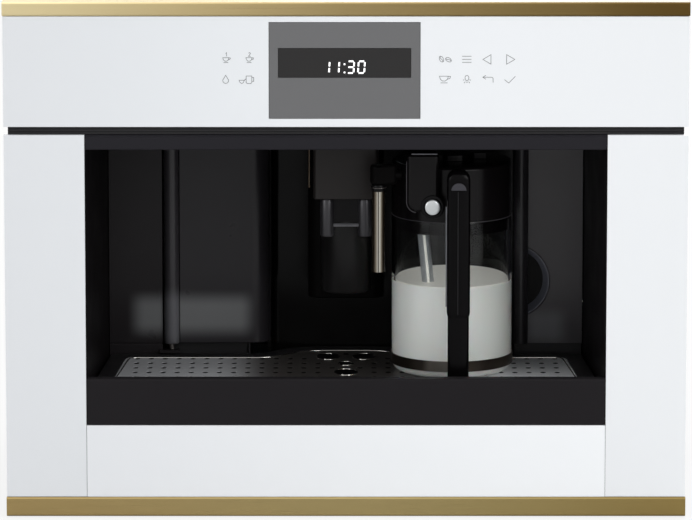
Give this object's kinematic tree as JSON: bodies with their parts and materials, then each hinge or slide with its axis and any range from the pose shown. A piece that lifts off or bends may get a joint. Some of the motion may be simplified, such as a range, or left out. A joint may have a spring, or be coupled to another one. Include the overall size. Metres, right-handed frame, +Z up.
{
  "type": "built-in coffee machine",
  "caption": "Built-in bean-to-cup coffee machine with white glass front, gold bars, open niche, milk jug, drip tray and slide-out rails.",
  "frame": {"origin": "centre of the footprint, on the shelf the mounting tray stands on", "axes": "+X to the viewer's right along the front, +Y into the cabinet, +Z up"},
  "size_m": [0.595, 0.38, 0.455],
  "materials": {
    "gold_trim": "brushed satin gold, anodised",
    "white_glass": "white back-painted glass, polished",
    "grey_panel": "satin grey",
    "display_window": "dark display cover, glossy",
    "black_plastic": "satin black",
    "gloss_black": "soft gloss black",
    "dark_metal": "dark satin",
    "stainless": "bright stainless",
    "zinc_sheet": "zinc-plated sheet",
    "clear_glass": "clear borosilicate",
    "clear_plastic": "clear smoked plastic",
    "milk": "milk, shown in the jug",
    "circuit_board": "green circuit board",
    "copper": "dull copper",
    "silver_plastic": "satin silver"
  },
  "bodies": {
    "mounting": {"mounting_tray": "zinc_sheet"},
    "rail_middles": {"rail_middle_left": "zinc_sheet", "rail_middle_right": "zinc_sheet"},
    "machine": {"rail_inner_left": "zinc_sheet", "rail_inner_right": "zinc_sheet", "casing_wrap": "zinc_sheet", "casing_top": "zinc_sheet", "casing_bottom": "zinc_sheet", "inner_deck": "black_plastic", "front_frame": "black_plastic", "top_trim": "gold_trim", "bottom_trim": "gold_trim", "top_glass": "white_glass", "left_glass": "white_glass", "right_glass": "white_glass", "bottom_glass": "white_glass", "display_panel": "grey_panel", "display_window": "display_window", "control_board": "circuit_board", "lintel": "black_plastic", "niche_wall_left": "gloss_black", "niche_wall_right": "gloss_black", "niche_ceiling": "black_plastic", "back_panel_left": "gloss_black", "niche_back": "gloss_black", "service_bay": "black_plastic", "grounds_container": "black_plastic", "brew_unit": "dark_metal", "tank_seat": "black_plastic", "spout_housing": "black_plastic", "bean_hopper": "clear_plastic", "grinder": "dark_metal", "boiler": "copper", "pump": "dark_metal", "power_board": "circuit_board", "steam_nozzle": "stainless", "mains_inlet": "black_plastic"},
    "drip_tray": {"drip_tray_front": "black_plastic", "drip_basin": "black_plastic", "drip_grid": "stainless"},
    "service_door": {"service_door": "gloss_black", "hinge_bar": "gloss_black"},
    "water_tank": {"water_tank": "clear_plastic", "tank_front": "gloss_black", "tank_bar": "gloss_black"},
    "coffee_spout": {"spout_block": "dark_metal", "spout_outlets": "dark_metal"},
    "milk_jug": {"jug_glass": "clear_glass", "jug_band": "stainless", "milk": "milk", "intake_tube": "clear_plastic", "jug_handle": "black_plastic", "jug_lid": "black_plastic"},
    "milk_spout": {"milk_spout_arm": "black_plastic", "milk_spout_tube": "stainless"},
    "froth_button": {"froth_button": "silver_plastic"},
    "froth_regulator": {"froth_regulator": "black_plastic"},
    "hopper_lid": {"hopper_lid": "black_plastic"},
    "grind_knob": {"grind_knob": "black_plastic"},
    "power_switch": {"power_switch": "gloss_black"}
  },
  "joints": [
    {"name": "machine_pull", "type": "slide", "parent": "mounting", "child": "machine", "axis": [0, -1, 0], "range_m": [0, 0.25]},
    {"name": "rail_run", "type": "slide", "parent": "mounting", "child": "rail_middles", "axis": [0, -1, 0], "range_m": [0, 0.125]},
    {"name": "drip_tray_slide", "type": "slide", "parent": "machine", "child": "drip_tray", "axis": [0, -1, 0], "range_m": [0, 0.2]},
    {"name": "service_door_swing", "type": "hinge", "parent": "machine", "child": "service_door", "pos_m": [-0.1577, -0.001, 0.2], "axis": [0, 0, -1], "range_deg": [0, 105]},
    {"name": "water_tank_slide", "type": "slide", "parent": "machine", "child": "water_tank", "axis": [0, -1, 0], "range_m": [0, 0.165]},
    {"name": "coffee_spout_lift", "type": "slide", "parent": "machine", "child": "coffee_spout", "axis": [0, 0, 1], "range_m": [-0.045, 0.005]},
    {"name": "milk_jug_undock", "type": "slide", "parent": "machine", "child": "milk_jug", "axis": [0, -1, 0], "range_m": [0, 0.015]},
    {"name": "milk_spout_swing", "type": "hinge", "parent": "milk_jug", "child": "milk_spout", "pos_m": [0.047, -0.127, 0.293], "axis": [0, 0, 1], "range_deg": [0, 70]},
    {"name": "froth_button_press", "type": "slide", "parent": "milk_jug", "child": "froth_button", "axis": [0, 1, 0], "range_m": [0, 0.002], "stiffness_N_per_m": 500, "springref_m": -0.0015},
    {"name": "froth_regulator_turn", "type": "hinge", "parent": "milk_jug", "child": "froth_regulator", "pos_m": [0.0942, -0.075, 0.303], "axis": [0, 0, 1], "range_deg": [-25, 25]},
    {"name": "hopper_lid_swing", "type": "hinge", "parent": "machine", "child": "hopper_lid", "pos_m": [0, 0.146, 0.407], "axis": [-1, 0, 0], "range_deg": [0, 85]},
    {"name": "grind_knob_turn", "type": "hinge", "parent": "machine", "child": "grind_knob", "pos_m": [0.092, 0.08, 0.408], "axis": [0, 0, 1], "range_deg": [0, 270]},
    {"name": "power_switch_tilt", "type": "hinge", "parent": "machine", "child": "power_switch", "pos_m": [0.169, 0.1842, 0.112], "axis": [1, 0, 0], "range_deg": [-12, 0]}
  ],
  "couplings": [
    {"joint": "rail_run", "follows": "machine_pull", "ratio": 0.5}
  ]
}
